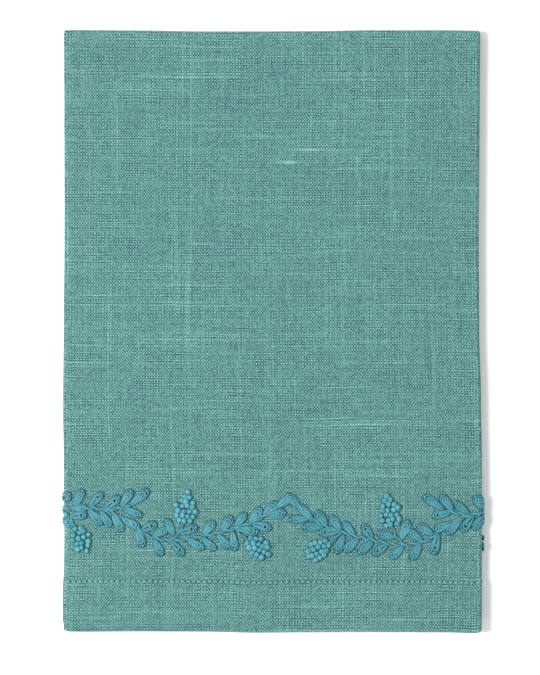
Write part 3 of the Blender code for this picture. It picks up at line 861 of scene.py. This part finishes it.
def threads_of(shader, across, along):
    """Warp and weft counts, bent by slow and quick wander of the threads."""
    slow = shader.noise(shader.vector(across, along), WARP_SLOW_RATE, 2.0)
    slow_too = shader.noise(shader.vector(along, across, 3.0), WEFT_SLOW_RATE, 2.0)
    quick = shader.noise(shader.vector(across, along, 7.0), WARP_QUICK_RATE, 1.0)
    quick_too = shader.noise(shader.vector(along, across, 9.0), WEFT_QUICK_RATE, 1.0)
    s = shader.math("MULTIPLY_ADD", slow, WARP_SLOW_WANDER, across)
    s = shader.math("MULTIPLY_ADD", quick, QUICK_WANDER, s)
    t = shader.math("MULTIPLY_ADD", slow_too, WEFT_SLOW_WANDER, along)
    t = shader.math("MULTIPLY_ADD", quick_too, QUICK_WANDER, t)
    return shader.math("DIVIDE", s, WARP_PITCH), shader.math("DIVIDE", t, WEFT_PITCH)


def streaks_of(shader, place_along, number, per_metre, seed):
    """Noise that runs long along each thread and differs from thread to thread."""
    lengthways = shader.math("MULTIPLY", place_along, per_metre)
    crossways = shader.math("MULTIPLY", number, THREADS_APART)
    return shader.noise(shader.vector(lengthways, crossways, seed), 1.0, 1.0)


def thread_lines(shader, across, along, warp_wave, weft_wave, weft_count):
    """Threads that read as fine light lines both ways, in patches."""
    rows = shader.math("SINE", shader.math("MULTIPLY", weft_count, 2 * math.pi * WEFT_PITCH / ROW_PITCH))
    lines = shader.math("MULTIPLY_ADD", rows, ROW_SHARE, shader.math("MULTIPLY", warp_wave, WARP_SHARE))
    lines = shader.math("MULTIPLY_ADD", weft_wave, WEFT_SHARE, lines)
    patch = shader.noise(shader.vector(across, along, 5.0), PATCH_RATE, 1.0)
    patch = shader.math("MULTIPLY_ADD", patch, PATCH_GAIN, -PATCH_LEVEL, clamp=True)
    return shader.math("MULTIPLY", lines, patch)


def near_fold(shader, place_across, centre):
    """1 at the middle of a fold's band of painted light and flatter weave, falling evenly to 0 at its
    edges.
    """
    away = shader.math("ABSOLUTE", shader.math("SUBTRACT", place_across, centre))
    return shader.math("SUBTRACT", 1.0, shader.math("DIVIDE", away, FOLD_BAND, clamp=True))


def from_middle(shader, noise):
    """Noise shifted to lie about 0."""
    return shader.math("SUBTRACT", noise, 0.5)


def painted_hole_shade(shader, across, along):
    """Painted shade in the small holes that the hem's needle left, along both hems: 1 in the holes, and 0
    elsewhere.
    """
    turned = shader.math("SUBTRACT", CLOTH_END, along)
    from_end = shader.math("MINIMUM", along, turned)
    aside = shader.math("SUBTRACT", from_end, STITCH_LINE)
    count = shader.math("DIVIDE", shader.math("SUBTRACT", across, STITCH_START), STITCH_PITCH)
    nearest = shader.math("SUBTRACT", count, shader.math("ROUND", count))
    near = shader.math("MULTIPLY", nearest, STITCH_PITCH / HOLE_WIDTH)
    far = shader.math("DIVIDE", aside, HOLE_LENGTH)
    squared = shader.math("MULTIPLY_ADD", near, near, shader.math("MULTIPLY", far, far))
    depth = shader.noise(shader.vector(across, 4.0), 60.0, 2.0)
    depth = shader.math("MULTIPLY_ADD", depth, HOLE_SHADE_GAIN, -HOLE_SHADE_LEVEL, clamp=True)
    hole = shader.math("EXPONENT", shader.math("MULTIPLY", squared, -1.0))
    return shader.math("MULTIPLY", hole, depth)


def thick_places(shader, across, along):
    """The sum of the few slubs that stand out, each a long soft spot along its thread."""
    total = 0.0
    for slub in SLUBS:
        near = shader.math("MULTIPLY_ADD", across, 1 / slub.half_across, -slub.s / slub.half_across)
        far = shader.math("MULTIPLY_ADD", along, 1 / slub.half_along, -slub.t / slub.half_along)
        squared = shader.math("MULTIPLY_ADD", near, near, shader.math("MULTIPLY", far, far))
        spot = shader.math("EXPONENT", shader.math("MULTIPLY", squared, -1.0))
        total = shader.math("MULTIPLY_ADD", spot, slub.paler, total)
    return total


def linen_material():
    """Plain-weave linen: uneven threads over and under, slubs, and small holes between, darkened with
    painted shade.
    """
    shader = Shader("linen_weave")
    across, along, _ = shader.place("flat_place")
    warp_count, weft_count = threads_of(shader, across, along)
    warp_wave = shader.math("SINE", shader.math("MULTIPLY", warp_count, math.pi))
    weft_wave = shader.math("SINE", shader.math("MULTIPLY", weft_count, math.pi))
    at_side = near_fold(shader, shader.math("ABSOLUTE", across), SIDE_BAND_CENTRE)
    turned = shader.math("MAXIMUM", at_side, near_fold(shader, along, TOP_BAND_CENTRE))
    relief_share = shader.math("MULTIPLY_ADD", turned, -FOLD_FLATTER, 1.0)
    over_under = shader.math("MULTIPLY", shader.math("MULTIPLY", warp_wave, weft_wave), relief_share)
    crossing = shader.math("ABSOLUTE", over_under)
    warp_number = shader.math("FLOOR", warp_count)
    weft_number = shader.math("FLOOR", weft_count)
    weft_tone = streaks_of(shader, across, weft_number, WEFT_TONE_RATE, 1.0)
    warp_tone = streaks_of(shader, along, warp_number, WARP_TONE_RATE, 5.0)
    weft_slub = streaks_of(shader, across, weft_number, WEFT_THICK_RATE, 11.0)
    warp_slub = streaks_of(shader, along, warp_number, WARP_THICK_RATE, 17.0)
    slub = shader.math("MULTIPLY", shader.math("SUBTRACT", weft_slub, THICK_LEVEL, clamp=True), WEFT_THICK)
    rib = shader.math("MULTIPLY", shader.math("SUBTRACT", warp_slub, THICK_LEVEL, clamp=True), WARP_THICK)
    slub = shader.math("ADD", slub, thick_places(shader, across, along))
    speck = shader.white(shader.vector(weft_number, warp_number))
    light = shader.math("MULTIPLY_ADD", over_under, OVER_UNDER, BASE_LIGHT)
    light = shader.math("MULTIPLY_ADD", crossing, CROSSING, light)
    light = shader.math("MULTIPLY_ADD", from_middle(shader, speck), SPECK, light)
    light = shader.math("MULTIPLY_ADD", from_middle(shader, weft_tone), WEFT_TONE, light)
    light = shader.math("MULTIPLY_ADD", from_middle(shader, warp_tone), WARP_TONE, light)
    light = shader.math("ADD", light, shader.math("ADD", slub, rib))
    lines = thread_lines(shader, across, along, warp_wave, weft_wave, weft_count)
    light = shader.math("ADD", light, lines)
    cloud = shader.noise(shader.vector(across, along, 2.0), CLOUD_RATE, 2.0)
    light = shader.math("MULTIPLY", light, shader.math("MULTIPLY_ADD", cloud, CLOUD, 1 - CLOUD / 2))
    light = shader.math("MAXIMUM", light, DARKEST_LIGHT)
    # Painted light: the fold bands are made paler, standing in for the light that the folds catch
    light = shader.math("MULTIPLY", light, shader.math("MULTIPLY_ADD", turned, FOLD_PAINTED_LIGHT, 1.0))
    hole_shade = painted_hole_shade(shader, across, along)
    # Painted shade in the needle holes
    light = shader.math("MULTIPLY", light, shader.math("SUBTRACT", 1.0, hole_shade))
    shader.put(shader.principled.inputs["Base Color"], shader.ramp(LINEN_GAIN, LINEN_DARK, light))
    shader.set(Roughness=0.85, Specular_IOR_Level=0.12, Sheen_Weight=0.08, Sheen_Roughness=0.5)
    relief = shader.math("MULTIPLY_ADD", over_under, OVER_UNDER_RELIEF, crossing)
    relief = shader.math("ADD", relief, slub)
    shader.bump(relief, WEAVE_BUMP, WEAVE_DEPTH)
    return shader.material


def thread_material():
    """Stranded cotton: fine turned filaments, lighter and darker lengths, a low sheen, and painted light:
    pale crowns, shaded sides and darker low parts.
    """
    shader = Shader("stranded_thread")
    length, shade, lift = shader.place("thread_place")
    aside, upward, _ = shader.place("thread_turn")
    turn = shader.math("DIVIDE", shader.math("ARCTAN2", upward, aside), 2 * math.pi)
    twist = shader.math("MULTIPLY_ADD", length, TWISTS_PER_METRE, turn)
    ply = shader.math("SINE", shader.math("MULTIPLY", twist, 2 * math.pi))
    along = shader.math("MULTIPLY", length, FIBRE_RATE)
    around = shader.math("MULTIPLY", turn, FIBRES_ROUND)
    fibre = shader.noise(shader.vector(along, around, shade), 1.0, 2.0)
    factor = shader.math("MULTIPLY_ADD", shade, SHADE_GAIN, SHADE_BASE)
    factor = shader.math("MULTIPLY_ADD", ply, PLY_GAIN, factor)
    factor = shader.math("MULTIPLY", factor, shader.math("MULTIPLY_ADD", fibre, FIBRE_GAIN, FIBRE_BASE))
    # Painted highlight on each tube's crown and painted shade on its sides and underside
    painted_crown = shader.math("POWER", shader.math("MAXIMUM", upward, 0.0), PAINTED_CROWN_POWER)
    painted_crown = shader.math("MULTIPLY_ADD", painted_crown, PAINTED_CROWN_GAIN, PAINTED_UNDERSIDE_LEVEL)
    # Painted shade: threads lying low on the cloth are darker, as if in the shade between strands
    raised = shader.math("DIVIDE", lift, PAINTED_FULL_LIGHT_LIFT, clamp=True)
    depth = shader.math("ADD", raised, PAINTED_LOW_LIGHT)
    factor = shader.math("MULTIPLY", factor, shader.math("MULTIPLY", painted_crown, depth))
    shader.put(shader.principled.inputs["Base Color"], shader.ramp(THREAD_GAIN, THREAD_DARK, factor))
    rough = shader.math("MULTIPLY_ADD", fibre, 0.2, 0.38)
    shader.put(shader.principled.inputs["Roughness"], rough)
    shader.set(Specular_IOR_Level=0.35, Sheen_Weight=0.12, Sheen_Roughness=0.4)
    shader.bump(shader.math("ADD", ply, fibre), THREAD_BUMP, THREAD_DEPTH)
    return shader.material


def stitch_material():
    """The hem's sewing thread, a little lighter than the linen."""
    shader = Shader("hem_thread")
    length, shade, _ = shader.place("thread_place")
    along = shader.math("MULTIPLY", length, STITCH_FIBRE_RATE)
    fibre = shader.noise(shader.vector(along, shade), 2.0, 1.0)
    factor = shader.math("MULTIPLY_ADD", fibre, STITCH_FIBRE_GAIN, STITCH_PALER)
    shader.put(shader.principled.inputs["Base Color"], shader.tint(HEM_THREAD, factor))
    shader.set(Roughness=0.6, Specular_IOR_Level=0.3, Sheen_Weight=0.1)
    return shader.material


def floor_material():
    """A white studio floor with the faintest mottling."""
    shader = Shader("studio_floor")
    coordinates = shader.tree.nodes.new("ShaderNodeTexCoord")
    mottle = shader.noise(coordinates.outputs["Object"], 6.0, 2.0)
    factor = shader.math("MULTIPLY_ADD", mottle, 0.02, 0.97)
    shader.put(shader.principled.inputs["Base Color"], shader.tint((0.94, 0.94, 0.94), factor))
    shader.set(Roughness=0.9, Specular_IOR_Level=0.0)
    return shader.material


def dress(piece, material):
    piece.data.materials.clear()
    piece.data.materials.append(material)
    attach(piece, "root")


def centre_of(low, high):
    return (Vector(low) + Vector(high)) / 2


def shift_to_solid(pieces, cloth):
    """Moves every piece across the floor so that the sheet lies where its solid does."""
    corners = [Vector(corner) for corner in cloth.bound_box]
    low = [min(corner[axis] for corner in corners) for axis in range(3)]
    high = [max(corner[axis] for corner in corners) for axis in range(3)]
    move = centre_of(*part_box("napkin")) - centre_of(low, high)
    for piece in pieces:
        piece.data.transform(Matrix.Translation((move.x, move.y, 0.0)))
    return move


def build_stage():
    bpy.ops.mesh.primitive_plane_add(size=6.0, location=(0.0, 0.0, 0.0))
    floor = bpy.context.active_object
    floor.name = "floor"
    floor.data.materials.append(floor_material())


def build_lights():
    """A soft key from the left, which throws the short shadow on the right, and an even white fill."""
    data = bpy.data.lights.new("key", "AREA")
    data.shape = "RECTANGLE"
    data.size = KEY_WIDTH
    data.size_y = KEY_HEIGHT
    data.energy = KEY_POWER
    light = bpy.data.objects.new("key", data)
    light.location = (-KEY_DISTANCE * math.cos(KEY_ELEVATION), 0.0, KEY_DISTANCE * math.sin(KEY_ELEVATION))
    light.rotation_euler = (-light.location).to_track_quat("-Z", "Y").to_euler()
    bpy.context.scene.collection.objects.link(light)
    world = bpy.data.worlds.new("fill")
    world.use_nodes = True
    background = world.node_tree.nodes["Background"]
    background.inputs[0].default_value = (1.0, 1.0, 1.0, 1.0)
    background.inputs[1].default_value = FILL_STRENGTH
    bpy.context.scene.world = world


def build_camera(move):
    """Straight above, at the photo's scale on the napkin's face."""
    data = bpy.data.cameras.new("camera")
    camera = bpy.data.objects.new("camera", data)
    bpy.context.scene.collection.objects.link(camera)
    face_height = 6 * SOLID_THICKNESS + 5 * LAYER_GAP
    x = (PHOTO_WIDTH / 2 - NAPKIN_PIXEL_X) * METRES_A_PIXEL
    y = (NAPKIN_PIXEL_Y - PHOTO_HEIGHT / 2) * METRES_A_PIXEL
    camera.location = (x + move.x, y + move.y, face_height + CAMERA_HEIGHT)
    data.sensor_fit = "VERTICAL"
    data.angle = 2 * math.atan(PHOTO_HEIGHT * METRES_A_PIXEL / 2 / CAMERA_HEIGHT)
    data.clip_end = 20.0
    bpy.context.scene.camera = camera


cloth = build_cloth()
leaves, stems, knots, fold_knots = build_embroidery()
stitches = build_stitches()
move = shift_to_solid((cloth, leaves, stems, knots, fold_knots, stitches), cloth)
dress(cloth, linen_material())
thread = thread_material()
for piece in (leaves, stems, knots, fold_knots):
    dress(piece, thread)
dress(stitches, stitch_material())
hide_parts("napkin")
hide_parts("vine")
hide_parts("fold_knots")
build_stage()
build_lights()
build_camera(move)
bpy.context.scene.view_settings.view_transform = "Standard"
